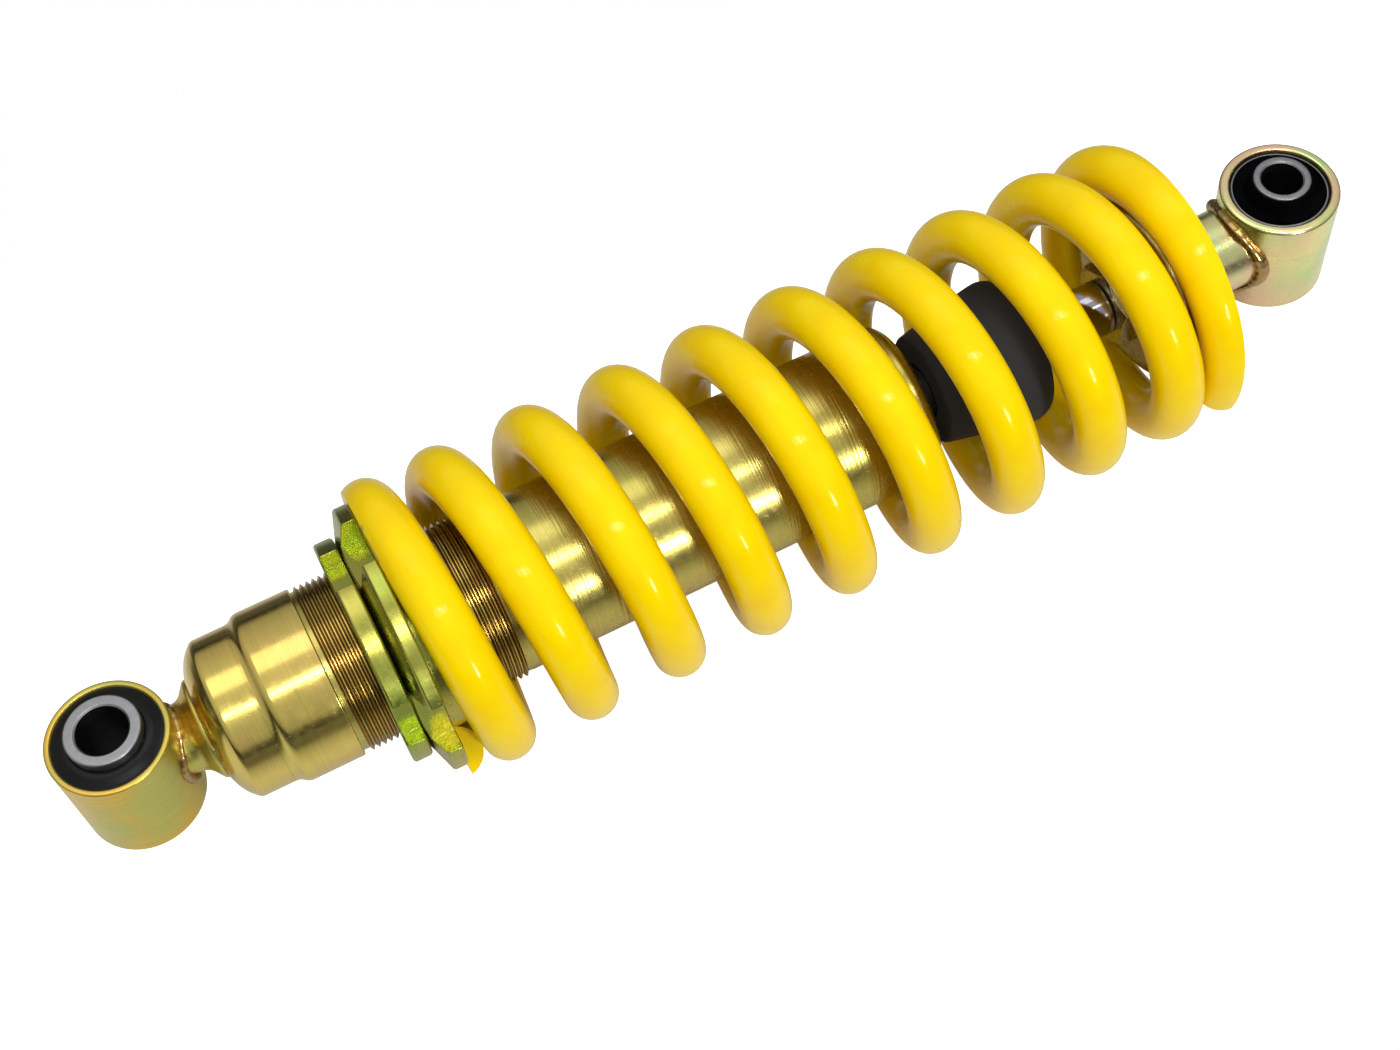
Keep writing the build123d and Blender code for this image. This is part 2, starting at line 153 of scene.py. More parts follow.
def wound(bar_radius, mean_radius, first_angle, steps, steps_per_turn, place, swell=None, sides=32):
    """A round bar wound about X.

    place(turn) is where its centre lies along X, in millimetres, and swell(turn) scales its thickness.
    """
    mesh = bmesh.new()
    centre = Matrix.Translation((place(0.0) * MM, mean_radius * MM, 0.0))
    radius = bar_radius * (swell(0.0) if swell else 1.0) * MM
    section = bmesh.ops.create_circle(
        mesh,
        cap_ends=False,
        radius=radius,
        segments=sides,
        matrix=Matrix.Rotation(first_angle, 4, "X") @ centre,
    )
    ring = section["verts"] + mesh.edges[:]
    for step in range(1, steps + 1):
        turn, last = step / steps_per_turn, (step - 1) / steps_per_turn
        climb = (place(turn) - place(last)) * MM
        made = bmesh.ops.spin(
            mesh,
            geom=ring,
            cent=(0.0, 0.0, 0.0),
            axis=(1.0, 0.0, 0.0),
            dvec=(climb, 0.0, 0.0),
            angle=2 * pi / steps_per_turn,
            steps=1,
            use_merge=False,
        )
        ring = made["geom_last"]
        if swell:
            verts = [item for item in ring if isinstance(item, bmesh.types.BMVert)]
            angle = first_angle + 2 * pi * turn
            centre = Vector((place(turn), mean_radius * cos(angle), mean_radius * sin(angle))) * MM
            growth = swell(turn) / swell(last)
            bmesh.ops.scale(
                mesh, vec=(growth, growth, growth), space=Matrix.Translation(-centre), verts=verts
            )
    return mesh


def carved(mesh, tool, operation="DIFFERENCE"):
    """Cuts one closed shape with another, or keeps only what the two share."""
    solids = []
    for label, shape in (("blank", mesh), ("tool", tool)):
        bmesh.ops.recalc_face_normals(shape, faces=shape.faces[:])
        data = bpy.data.meshes.new(label)
        shape.to_mesh(data)
        shape.free()
        solid = bpy.data.objects.new(label, data)
        bpy.context.scene.collection.objects.link(solid)
        solids.append(solid)
    cut = solids[0].modifiers.new("cut", "BOOLEAN")
    cut.operation = operation
    cut.solver = "EXACT"
    cut.object = solids[1]
    result = bmesh.new()
    result.from_object(solids[0], bpy.context.evaluated_depsgraph_get())
    for solid in solids:
        data = solid.data
        bpy.data.objects.remove(solid)
        bpy.data.meshes.remove(data)
    return result


def fit_to_cylinder(mesh, centre_x, radius, side, limit):
    """Lays the end of a stem onto an upright cylinder at centre_x.

    The end is every vertex past limit, towards +X if side is 1 and towards -X if it is -1.
    """
    for vertex in mesh.verts:
        if side * (vertex.co.x - limit * MM) > 0:
            depth = sqrt(max((radius * MM) ** 2 - vertex.co.y**2, 0.0))
            vertex.co.x = centre_x * MM - side * depth


def sleeve_shape(node, bore_r, outer_r, x=0.0):
    """A bolt sleeve with broken edges, across the shock at x. Its bore takes the second material, a
    near-black one that paints the shade inside the bore.
    """
    half = reach(node, 2)[1]
    sleeve = crosswise([(0.4 - half, bore_r, 0), (-half, bore_r + 0.4, 0.1), (-half, outer_r, 0.45)], x)
    for face in sleeve.faces:
        centre = face.calc_center_median()
        face.material_index = int(hypot(centre.x - x * MM, centre.y) < (bore_r + 0.02) * MM)
    return sleeve


def weld_bead(bead_r, neck_r, eye_r, eye_x, side, proud, steps, waves):
    """A closed, lumpy bead on the line where a neck meets an eye, on the +X or -X side of the eye.

    waves are pairs: how many there are in a turn, and their height as a share of the bead.
    """

    def saddle(turn):
        """Where the bead's centre lies along X."""
        across = neck_r * cos(2 * pi * turn)
        return eye_x + side * (sqrt(eye_r**2 - across**2) + proud)

    def lumps(turn):
        """How thick the bead is, as a share."""
        return 0.95 + sum(height * sin(2 * pi * count * turn + count) for count, height in waves)

    bead = wound(bead_r, neck_r, 0.0, steps, steps, saddle, swell=lumps, sides=16)
    bmesh.ops.remove_doubles(bead, verts=bead.verts[:], dist=1e-6)
    return bead


def finish_piece(mesh, name, body, finish, replaced, edge=0.0, sharp=38.0):
    """Makes a shape into an object that rides on a body and stands for CAD nodes.

    edge is the width of a bevel on its corners, and sharp the angle past which a corner isn't smooth.
    """
    bmesh.ops.recalc_face_normals(mesh, faces=mesh.faces[:])
    data = bpy.data.meshes.new(name)
    mesh.to_mesh(data)
    mesh.free()
    data.shade_smooth()
    data.set_sharp_from_angle(angle=radians(sharp))
    data.materials.append(bpy.data.materials[finish])
    piece = bpy.data.objects.new(name, data)
    bpy.context.scene.collection.objects.link(piece)
    if edge:
        bevel = piece.modifiers.new("edges", "BEVEL")
        bevel.width = edge * MM
        bevel.segments = 2
        bevel.limit_method = "ANGLE"
        bevel.angle_limit = radians(35)
    normals = piece.modifiers.new("even_normals", "WEIGHTED_NORMAL")
    normals.keep_sharp = True
    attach(piece, body)
    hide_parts(*replaced)
    return piece


# ---- Shader nodes --------------------------------------------------------------------------------


def fill(tree, node, values):
    """Fills a node's sockets. A value that is a socket is linked, and any other is set."""
    for socket, value in values.items():
        if isinstance(value, bpy.types.NodeSocket):
            tree.links.new(value, node.inputs[socket])
        else:
            node.inputs[socket].default_value = value


def add(tree, kind, values=None, **properties):
    """Adds a shader node, sets its properties and fills its sockets."""
    made = tree.nodes.new("ShaderNode" + kind)
    for name, value in properties.items():
        setattr(made, name, value)
    fill(tree, made, values or {})
    return made


def calc(tree, operation, *values):
    """Does one step of arithmetic and returns the result's socket."""
    return add(tree, "Math", dict(enumerate(values)), operation=operation).outputs[0]


def vector_calc(tree, operation, *values):
    """Does one step of arithmetic on vectors and returns the result's socket."""
    return add(tree, "VectorMath", dict(enumerate(values)), operation=operation).outputs[0]


def rescale(tree, value, from_low, from_high, to_low=0.0, to_high=1.0, curve="LINEAR"):
    """Maps one range onto another and returns the result's socket."""
    ends = {"From Min": from_low, "From Max": from_high, "To Min": to_low, "To Max": to_high}
    return add(tree, "MapRange", {"Value": value, **ends}, interpolation_type=curve).outputs[0]


def noise(tree, place, scale, detail, roughness=0.5):
    """Adds a noise pattern and returns its value's socket."""
    values = {"Vector": place, "Scale": scale, "Detail": detail, "Roughness": roughness}
    return add(tree, "TexNoise", values).outputs[0]


def blend_colours(tree, factor, first, second):
    """Mixes two colours and returns the result's socket."""
    return add(tree, "Mix", {0: factor, 6: first, 7: second}, data_type="RGBA").outputs[2]


def new_group(name, inputs, outputs):
    """An empty shader node group with named sockets, and its input and output nodes."""
    tree = bpy.data.node_groups.new(name, "ShaderNodeTree")
    for socket, kind, default in inputs:
        made = tree.interface.new_socket(name=socket, in_out="INPUT", socket_type="NodeSocket" + kind)
        made.default_value = default
    for socket, kind in outputs:
        tree.interface.new_socket(name=socket, in_out="OUTPUT", socket_type="NodeSocket" + kind)
    return tree, tree.nodes.new("NodeGroupInput"), tree.nodes.new("NodeGroupOutput")


def use_group(tree, name, values):
    """Places a shared group in a material."""
    placed = tree.nodes.new("ShaderNodeGroup")
    placed.node_tree = bpy.data.node_groups[name]
    fill(tree, placed, values)
    return placed


def build_plating_group():
    """Passivate: a ground colour with soft patches of two interference tints."""
    tree, given, made = new_group(
        "plating_tint",
        (
            ("Ground", "Color", (0.7, 0.55, 0.25, 1)),
            ("Green", "Color", (0.5, 0.55, 0.2, 1)),
            ("Rose", "Color", (0.8, 0.5, 0.4, 1)),
            ("Patch Scale", "Float", 40.0),
            ("Green Share", "Float", 0.4),
            ("Rose Share", "Float", 0.3),
        ),
        (("Color", "Color"), ("Clouding", "Float")),
    )
    place = add(tree, "TexCoord").outputs["Object"]
    colour = given.outputs["Ground"]
    for tint, offset in (("Green", (0.0, 0.0, 0.0)), ("Rose", (3.1, 1.7, 5.3))):
        shifted = vector_calc(tree, "ADD", place, offset)
        patches = noise(tree, shifted, given.outputs["Patch Scale"], detail=3.0)
        patches = rescale(tree, patches, 0.36, 0.66, curve="SMOOTHSTEP")
        share = calc(tree, "MULTIPLY", patches, given.outputs[tint + " Share"])
        colour = blend_colours(tree, share, colour, given.outputs[tint])
    clouding = noise(tree, place, 420.0, detail=4.0, roughness=0.6)
    fill(tree, made, {"Color": colour, "Clouding": clouding})


def build_tool_line_group():
    """Fine lines left by turning, drawing or polishing, and a few long scratches.

    Stretch is large across the lines and small along them.
    """
    tree, given, made = new_group(
        "tool_lines",
        (("Stretch", "Vector", (4000.0, 60.0, 60.0)), ("Scratches", "Float", 0.3)),
        (("Height", "Float"), ("Scratch Mask", "Float")),
    )
    place = add(tree, "TexCoord").outputs["Object"]
    lines = noise(tree, vector_calc(tree, "MULTIPLY", place, given.outputs["Stretch"]), 1.0, detail=2.0)
    tilted = add(tree, "VectorRotate", {"Vector": place, "Angle": 0.6, "Axis": (0.3, 1.0, 0.4)}).outputs[0]
    marks = noise(tree, vector_calc(tree, "MULTIPLY", tilted, (90.0, 2600.0, 900.0)), 1.0, detail=1.0)
    mask = calc(tree, "MULTIPLY", rescale(tree, marks, 0.68, 0.78), given.outputs["Scratches"])
    fill(tree, made, {"Height": calc(tree, "SUBTRACT", lines, mask), "Scratch Mask": mask})


def build_grain_group():
    """A moulded or sprayed skin: pores and a soft unevenness."""
    tree, given, made = new_group(
        "grain",
        (("Fineness", "Float", 900.0), ("Pores", "Float", 0.5)),
        (("Height", "Float"), ("Mottle", "Float")),
    )
    place, fineness = add(tree, "TexCoord").outputs["Object"], given.outputs["Fineness"]
    cells = add(tree, "TexVoronoi", {"Vector": place, "Scale": fineness}).outputs["Distance"]
    pores = calc(tree, "MULTIPLY", rescale(tree, cells, 0.0, 0.35), given.outputs["Pores"])
    height = calc(tree, "ADD", noise(tree, place, fineness, detail=3.0), pores)
    fill(tree, made, {"Height": height, "Mottle": noise(tree, place, 120.0, detail=4.0)})


# ---- Materials -------------------------------------------------------------------------------------

# How far the pattern of tool lines is stretched along X, Y and Z.
TURNED_LINES = (1600, 20, 20)
FINE_TURNED_LINES = (2400, 20, 20)
TURNED_EYE_LINES = (20, 20, 1600)
FACED_LINES = (20, 600, 600)
BRUSHED_LINES = (900, 900, 900)

PAINTED_GROOVE_SHADE = 0.72  # how dark the painted shade is in the grooves of a plating's tool lines


def new_material(name):
    """An empty material's tree and shader."""
    material = bpy.data.materials.new(name)
    material.use_nodes = True
    tree = material.node_tree
    return tree, tree.nodes["Principled BSDF"]


def spread(tree, value, low=0.0, high=1.0):
    """Maps the middle of a noise's range onto a range of its own."""
    return rescale(tree, value, 0.3, 0.7, low, high)


def relief_normal(tree, height, strength, depth):
    """Makes a normal from a height pattern. depth is in metres."""
    return add(tree, "Bump", {"Strength": strength, "Distance": depth, "Height": height}).outputs[0]


def plated(
    name,
    ground,
    green,
    rose,
    shares=(0.5, 0.4),
    fineness=38.0,
    lines=TURNED_LINES,
    rough=(0.2, 0.3),
    relief=0.05,
):
    """Passivated or bare metal with tool lines, with painted shade darkening the colour in their grooves.

    shares are how strong the green and the rose patches are, and fineness is their pattern's scale.
    """
    tree, shader = new_material(name)
    tint = use_group(
        tree,
        "plating_tint",
        {
            "Ground": (*ground, 1),
            "Green": (*green, 1),
            "Rose": (*rose, 1),
            "Patch Scale": fineness,
            "Green Share": shares[0],
            "Rose Share": shares[1],
        },
    )
    tool = use_group(tree, "tool_lines", {"Stretch": lines, "Scratches": 0.12})
    # Painted shade: the colour darkens in the grooves of the tool lines, standing for the shading their
    # relief would give.
    groove_shade_colour = (*(PAINTED_GROOVE_SHADE * part for part in ground), 1)
    groove_shade_share = spread(tree, tool.outputs["Height"], 0.4, 0.0)
    roughness = spread(tree, tint.outputs["Clouding"], *rough)
    values = {
        "Metallic": 1.0,
        "Base Color": blend_colours(tree, groove_shade_share, tint.outputs["Color"], groove_shade_colour),
        "Roughness": calc(tree, "ADD", roughness, tool.outputs["Scratch Mask"]),
        "Normal": relief_normal(tree, tool.outputs["Height"], relief, depth=0.0002),
    }
    fill(tree, shader, values)


def moulded(name, dark, light, rough, fineness, pores, relief, index=1.04):
    """Rubber, foam or filled plastic. A low index keeps a black one from shining grey."""
    tree, shader = new_material(name)
    grain = use_group(tree, "grain", {"Fineness": fineness, "Pores": pores})
    mottle = grain.outputs["Mottle"]
    values = {
        "Base Color": blend_colours(tree, spread(tree, mottle), (*dark, 1), (*light, 1)),
        "Roughness": spread(tree, mottle, *rough),
        "IOR": index,
        "Normal": relief_normal(tree, grain.outputs["Height"], relief, depth=0.0003),
    }
    fill(tree, shader, values)


def powder_coat(name, colour, shade):
    """Gloss powder coat with a slight orange peel."""
    tree, shader = new_material(name)
    grain = use_group(tree, "grain", {"Fineness": 700.0, "Pores": 0.0})
    mottle = grain.outputs["Mottle"]
    values = {
        "Base Color": blend_colours(tree, spread(tree, mottle), (*colour, 1), (*shade, 1)),
        "Roughness": spread(tree, mottle, 0.26, 0.34),
        "IOR": 1.3,
        "Normal": relief_normal(tree, grain.outputs["Height"], 0.06, depth=0.0002),
        "Specular Tint": (1.0, 0.8, 0.1, 1.0),
        "Coat Weight": 0.5,
        "Coat Roughness": 0.05,
        "Coat IOR": 1.3,
    }
    fill(tree, shader, values)


def floor_paper(name):
    """Matt paper that glows to the camera. It darkens away from the shock, for the metal to reflect."""
    tree, shader = new_material(name)
    grain = use_group(tree, "grain", {"Fineness": 300.0, "Pores": 0.0})
    place = add(tree, "TexCoord").outputs["Object"]
    across = calc(tree, "ABSOLUTE", add(tree, "SeparateXYZ", {0: place}).outputs["Y"])
    mottle = spread(tree, grain.outputs["Mottle"])
    pale = blend_colours(tree, mottle, (0.76, 0.76, 0.76, 1), (0.78, 0.78, 0.78, 1))
    seen = add(tree, "LightPath").outputs["Is Camera Ray"]
    values = {
        "Base Color": blend_colours(tree, rescale(tree, across, 0.05, 0.18), pale, (0.1, 0.1, 0.1, 1)),
        "Roughness": 0.9,
        "Specular IOR Level": 0.1,
        "Emission Color": (1.0, 1.0, 1.0, 1.0),
        "Emission Strength": calc(tree, "MULTIPLY", seen, 0.9),
    }
    fill(tree, shader, values)


def make_passivates(gold, green, rose):
    """Zinc with a yellow passivate, one finish for each kind of piece."""
    plated(
        "body_zinc",
        gold,
        green,
        rose,
        shares=(0.35, 0.4),
        lines=FINE_TURNED_LINES,
        rough=(0.14, 0.22),
        relief=0.08,
    )
    plated(
        "tube_zinc",
        ground=(0.54, 0.46, 0.11),
        green=(0.44, 0.42, 0.09),
        rose=(0.6, 0.48, 0.15),
        lines=FINE_TURNED_LINES,
        relief=0.28,
    )
    plated(
        "thread_zinc",
        ground=(0.42, 0.28, 0.08),
        green=(0.34, 0.26, 0.07),
        rose=(0.5, 0.31, 0.1),
        rough=(0.2, 0.24),
        relief=0.0,
    )
    plated(
        "ring_zinc",
        ground=(0.44, 0.42, 0.08),
        green=(0.24, 0.42, 0.06),
        rose=(0.6, 0.42, 0.12),
        shares=(0.65, 0.35),
        fineness=45.0,
        relief=0.015,
    )
    plated(
        "seat_zinc",
        ground=(0.44, 0.34, 0.1),
        green=(0.36, 0.36, 0.1),
        rose=(0.5, 0.34, 0.14),
        shares=(0.3, 0.4),
        lines=FACED_LINES,
    )
    plated(
        "eye_zinc",
        ground=(0.72, 0.48, 0.07),
        green=(0.38, 0.52, 0.16),
        rose=rose,
        shares=(0.7, 0.25),
        fineness=42.0,
        lines=TURNED_EYE_LINES,
        rough=(0.28, 0.38),
    )
    plated(
        "rod_eye_zinc",
        ground=(0.95, 0.82, 0.36),
        green=(0.46, 0.76, 0.3),
        rose=(0.95, 0.52, 0.42),
        shares=(0.85, 0.7),
        fineness=52.0,
        lines=TURNED_EYE_LINES,
    )
    plated(
        "weld_zinc",
        ground=(0.4, 0.27, 0.09),
        green=(0.26, 0.22, 0.08),
        rose=(0.6, 0.34, 0.18),
        fineness=160.0,
        relief=0.1,
    )
    plated("nut_zinc", (0.42, 0.36, 0.16), green, rose, shares=(0.3, 0.3), lines=BRUSHED_LINES)


def make_plain_metals():
    """The bolt sleeves, the rod and the metals inside the tube."""
    dull, dark = (0.36, 0.36, 0.38), (0.2, 0.2, 0.21)
    plated("sleeve_bright", (0.33, 0.33, 0.34), dull, dull, lines=BRUSHED_LINES, rough=(0.3, 0.42))
    plated("sleeve_dull", (0.2, 0.21, 0.22), dull, dull, lines=BRUSHED_LINES, rough=(0.34, 0.46))
    plated("shell_steel", dark, dull, dull, lines=TURNED_EYE_LINES, rough=(0.3, 0.42))
    # Near black: painted shade inside the bolt sleeves' bores.
    plated("bore_scale", (0.02, 0.02, 0.022), (0.03, 0.03, 0.03), (0.03, 0.025, 0.02), rough=(0.5, 0.6))
    # The chrome's colour is set dark: painted shade standing for the dark surroundings it reflects.
    plated(
        "rod_chrome",
        ground=(0.4, 0.39, 0.44),
        green=(0.36, 0.36, 0.42),
        rose=(0.42, 0.38, 0.42),
        rough=(0.05, 0.09),
        relief=0.02,
    )
    plated(
        "turned_steel",
        ground=(0.66, 0.66, 0.67),
        green=(0.6, 0.6, 0.6),
        rose=(0.62, 0.6, 0.58),
        rough=(0.24, 0.34),
        relief=0.16,
    )
    plated(
        "blued_steel",
        ground=(0.28, 0.3, 0.38),
        green=(0.22, 0.26, 0.36),
        rose=(0.34, 0.28, 0.34),
        rough=(0.24, 0.34),
    )
    plated(
        "sintered_iron",
        ground=(0.3, 0.3, 0.31),
        green=(0.24, 0.24, 0.25),
        rose=(0.34, 0.32, 0.3),
        rough=(0.5, 0.62),
        relief=0.3,
    )
    plated(
        "bearing_bronze",
        ground=(0.6, 0.42, 0.2),
        green=(0.52, 0.4, 0.2),
        rose=(0.66, 0.42, 0.24),
        rough=(0.28, 0.38),
    )


def make_mouldings(rubber):
    """Black rubber and foam, and the seals and bands inside the tube."""
    lit = tuple(3 * part for part in rubber)
    moulded("bush_rubber", rubber, lit, rough=(0.24, 0.34), fineness=500.0, pores=0.1, relief=0.06, index=1.3)
    moulded("dished_rubber", rubber, lit, rough=(0.4, 0.52), fineness=700.0, pores=0.2, relief=0.1)
    moulded("bump_foam", rubber, lit, rough=(0.5, 0.62), fineness=1500.0, pores=0.5, relief=0.12)
    moulded(
        "seal_rubber",
        dark=(0.012, 0.01, 0.009),
        light=(0.03, 0.026, 0.022),
        rough=(0.35, 0.45),
        fineness=900.0,
        pores=0.2,
        relief=0.1,
        index=1.5,
    )
    moulded(
        "bearing_band",
        dark=(0.05, 0.035, 0.022),
        light=(0.09, 0.06, 0.04),
        rough=(0.4, 0.5),
        fineness=1400.0,
        pores=0.3,
        relief=0.1,
        index=1.5,
    )


# ---- Settings ------------------------------------------------------------------------------------


class CoiloverSpringSettings(bpy.types.PropertyGroup):
    """The coil spring's sizes."""

    wire_radius: FloatProperty(
        name="Wire Radius",
        description="Radius of the coated wire",
        default=0.0064,
        unit="LENGTH",
    )
    coil_radius: FloatProperty(
        name="Coil Radius",
        description="From the axis to the wire's centre",
        default=0.031,
        unit="LENGTH",
    )
    turns: FloatProperty(name="Turns", description="Turns from tip to tip", default=9.93)
    tip_pitch: FloatProperty(
        name="Tip Pitch",
        description="Pitch that each end starts with",
        default=0.0085,
        unit="LENGTH",
    )
    closing_turns: FloatProperty(
        name="Closing Turns", description="Turns over which the pitch opens at each end", default=1.5
    )
    first_overrun: FloatProperty(
        name="First Overrun",
        description="How far the wire's centre starts outside the first ground face",
        default=0.0013,
        unit="LENGTH",
    )
    tip_angle: FloatProperty(
        name="Tip Angle",
        description="Of the first tip, from +Y towards +Z",
        default=radians(223),
        subtype="ANGLE",
    )


class CoiloverThreadSettings(bpy.types.PropertyGroup):
    """The body's thread for the spring seat."""

    pitch: FloatProperty(name="Pitch", description="Advance in one turn", default=0.0015, unit="LENGTH")
    crest_radius: FloatProperty(
        name="Crest Radius", description="Over the crests", default=0.0209, unit="LENGTH"
    )
    root_radius: FloatProperty(name="Root Radius", description="In the roots", default=0.02, unit="LENGTH")
    turns: IntProperty(name="Turns", description="Full turns of thread", default=28)


class CoiloverColourSettings(bpy.types.PropertyGroup):
    """The colours a user would change."""

    coat: FloatVectorProperty(
        name="Spring Coat",
        description="The powder coat",
        default=(1.0, 0.73, 0.0),
        subtype="COLOR",
        size=3,
    )
    coat_shade: FloatVectorProperty(
        name="Coat Shade",
        description="Its deeper tone",
        default=(0.98, 0.66, 0.0),
        subtype="COLOR",
        size=3,
    )
    gold: FloatVectorProperty(
        name="Plating Gold",
        description="The passivate's ground",
        default=(0.76, 0.57, 0.15),
        subtype="COLOR",
        size=3,
    )
    green: FloatVectorProperty(
        name="Plating Green",
        description="Its green tint",
        default=(0.52, 0.56, 0.11),
        subtype="COLOR",
        size=3,
    )
    rose: FloatVectorProperty(
        name="Plating Rose",
        description="Its rose tint",
        default=(0.82, 0.52, 0.2),
        subtype="COLOR",
        size=3,
    )
    rubber: FloatVectorProperty(
        name="Rubber",
        description="Bushes and bump stop",
        default=(0.0012, 0.0012, 0.0014),
        subtype="COLOR",
        size=3,
    )


class CoiloverCameraSettings(bpy.types.PropertyGroup):
    """The camera's place and lens."""

    place: FloatVectorProperty(
        name="Place",
        description="Where the camera stands",
        default=(0.05309, -0.25365, 0.41404),
        subtype="TRANSLATION",
        unit="LENGTH",
        size=3,
    )
    turn: FloatVectorProperty(
        name="Turn",
        description="Its rotation about X, Y and Z",
        default=(radians(32.021), radians(4.504), radians(-26.976)),
        subtype="EULER",
        size=3,
    )
    lens: FloatProperty(name="Lens", description="Focal length in millimetres", default=53.28, subtype="NONE")


# ---- Operators -----------------------------------------------------------------------------------


class CoiloverFinishes(bpy.types.Operator):
    """Builds every material and the node groups they share"""

    bl_idname = "coilover.finishes"
    bl_label = "Make Finishes"

    def execute(self, context):
        colours = context.scene.coilover_colours
        build_plating_group()
        build_tool_line_group()
        build_grain_group()
        powder_coat("spring_coat", tuple(colours.coat), tuple(colours.coat_shade))
        make_passivates(tuple(colours.gold), tuple(colours.green), tuple(colours.rose))
        make_plain_metals()
        make_mouldings(tuple(colours.rubber))
        return {"FINISHED"}


class CoiloverSpring(bpy.types.Operator):
    """Winds the coil spring, with both ends closed up and ground flat"""

    bl_idname = "coilover.spring"
    bl_label = "Wind Spring"

    def execute(self, context):
        sizes = context.scene.coilover_spring
        start, end = reach("spring")
        wire, mean = sizes.wire_radius / MM, sizes.coil_radius / MM
        tip_pitch, overrun = sizes.tip_pitch / MM, sizes.first_overrun / MM
        turns, closing_turns = sizes.turns, sizes.closing_turns
        full_rise = end - start + overrun
        even_pitch = (full_rise - closing_turns * tip_pitch) / (turns - closing_turns)

        def rise(turn):
            """How far the wire's centre has climbed, so many turns from its first tip."""
            if turn > turns / 2:
                return full_rise - rise(turns - turn)
            closing = min(turn, closing_turns)
            opened = (even_pitch - tip_pitch) * closing**2 / (2 * closing_turns)
            return tip_pitch * closing + opened + even_pitch * (turn - closing)

        steps_per_turn = 72
        mesh = wound(
            wire,
            mean,
            sizes.tip_angle,
            round(turns * steps_per_turn),
            steps_per_turn,
            lambda turn: start - overrun + rise(turn),
        )
        bmesh.ops.holes_fill(mesh, edges=mesh.edges[:], sides=0)
        for x, outward in ((start, -1.0), (end, 1.0)):
            cut = bmesh.ops.bisect_plane(
                mesh,
                geom=mesh.verts[:] + mesh.edges[:] + mesh.faces[:],
                plane_co=(x * MM, 0.0, 0.0),
                plane_no=(outward, 0.0, 0.0),
                clear_outer=True,
            )
            rim = [item for item in cut["geom_cut"] if isinstance(item, bmesh.types.BMEdge)]
            bmesh.ops.holes_fill(mesh, edges=rim, sides=0)
        spring = finish_piece(mesh, "coil_spring", "spring_on_seat", "spring_coat", ["spring"])
        far_share = spring.vertex_groups.new(name="far_share")
        for vertex in spring.data.vertices:
            share = (vertex.co.x / MM - start) / (end - start)
            far_share.add([vertex.index], min(max(share, 0.0), 1.0), "REPLACE")
        hold = spring.modifiers.new("far_end", "HOOK")
        hold.object = frame["bodies"]["damper_body"]
        hold.vertex_group = far_share.name
        hold.falloff_type = "NONE"
        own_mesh(spring)
        return {"FINISHED"}


class CoiloverBodyEye(bpy.types.Operator):
    """Models the eye at the body's end, its bush and sleeve, and the welded stem"""

    bl_idname = "coilover.body_eye"
    bl_label = "Make Body Eye"

    def execute(self, context):
        half = reach("body_eye", 2)[1]
        eye_r = reach("body_eye", 1)[1]
        bore_r = 12.2
        eye = crosswise([(0.9 - half, bore_r, 0), (-half, 13.0, 0.25), (-half, eye_r, 0.5)])
        finish_piece(eye, "body_eye_tube", "damper_body", "eye_zinc", ["body_eye"])
        bush = crosswise(
            [
                (-half - 0.8, 8.8, 0.3),
                (-half - 0.7, 10.2, 0.6),
                (-half + 0.3, 12.3, 0.4),
                (-half + 0.5, 12.9, 0),
                (-half + 0.95, bore_r - 0.02, 0),
            ]
        )
        finish_piece(bush, "body_eye_rubber", "damper_body", "bush_rubber", ["body_eye_bush"])
        sleeve = sleeve_shape("body_eye_sleeve", 6.05, reach("body_eye_sleeve", 1)[1])
        sleeve = finish_piece(
            sleeve, "body_eye_bolt_sleeve", "body_sleeve", "sleeve_bright", ["body_eye_sleeve"]
        )
        sleeve.data.materials.append(bpy.data.materials["bore_scale"])

        stem_r = 8.4
        stem_start = eye_r - 1.6
        flare_end = reach("base_cap")[0] - 0.1
        stem = turned(
            [
                (stem_start, 0, 0),
                (stem_start, stem_r, 0),
                (14.8, stem_r, 0.8),
                (16.4, 9.0, 1.0),
                (flare_end - 0.8, 12.1, 0.3),
                (flare_end, 12.3, 0.2),
                (flare_end, 0, 0),
            ]
        )
        fit_to_cylinder(stem, 0.0, eye_r - STEM_SUNK, -1, stem_start + 0.2)
        finish_piece(stem, "body_eye_neck", "damper_body", "eye_zinc", ["body_eye_stem"])

        waves = ((3, 0.12), (7, 0.1), (11, 0.07), (29, 0.03))
        weld = weld_bead(1.15, stem_r + 0.5, eye_r, 0.0, side=1, proud=0.1, steps=204, waves=waves)
        finish_piece(weld, "body_eye_weld_bead", "damper_body", "weld_zinc", ["body_eye_weld"])
        return {"FINISHED"}


